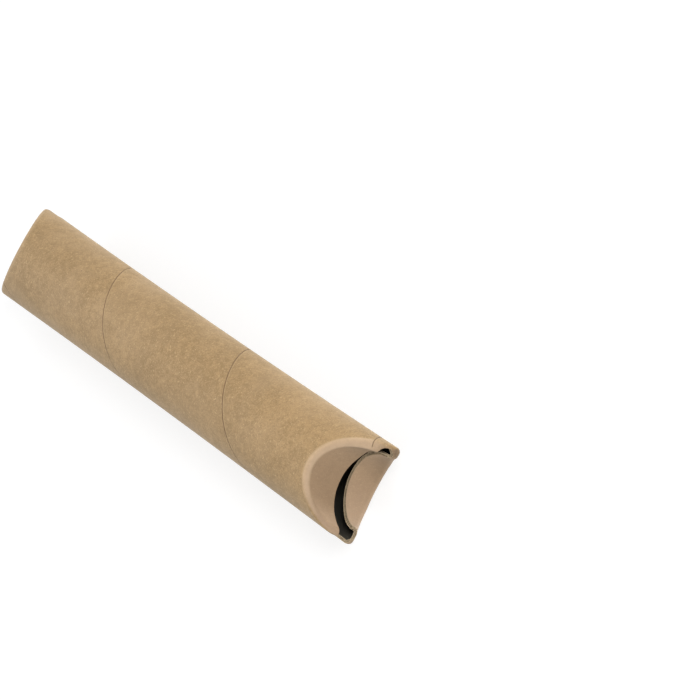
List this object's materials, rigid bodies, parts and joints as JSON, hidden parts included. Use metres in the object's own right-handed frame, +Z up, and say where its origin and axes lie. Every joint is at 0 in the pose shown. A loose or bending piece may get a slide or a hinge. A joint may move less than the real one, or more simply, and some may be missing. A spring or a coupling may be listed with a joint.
{
  "type": "mailing tube",
  "caption": "Round spiral-wound cardboard mailing tube whose ends are crimped shut, each with crescent flaps pressed in along curved creases.",
  "frame": {"origin": "centre of the bounding box in plan, at the height of the surface that the tube lies on", "axes": "+X along the tube, +Y level across it through the corners of both closures, +Z up"},
  "size_m": [0.358, 0.0572, 0.0538],
  "materials": {
    "kraft_board": "matte brown kraft paper, wound in a spiral"
  },
  "bodies": {
    "root": {"tube": "kraft_board"}
  },
  "joints": []
}
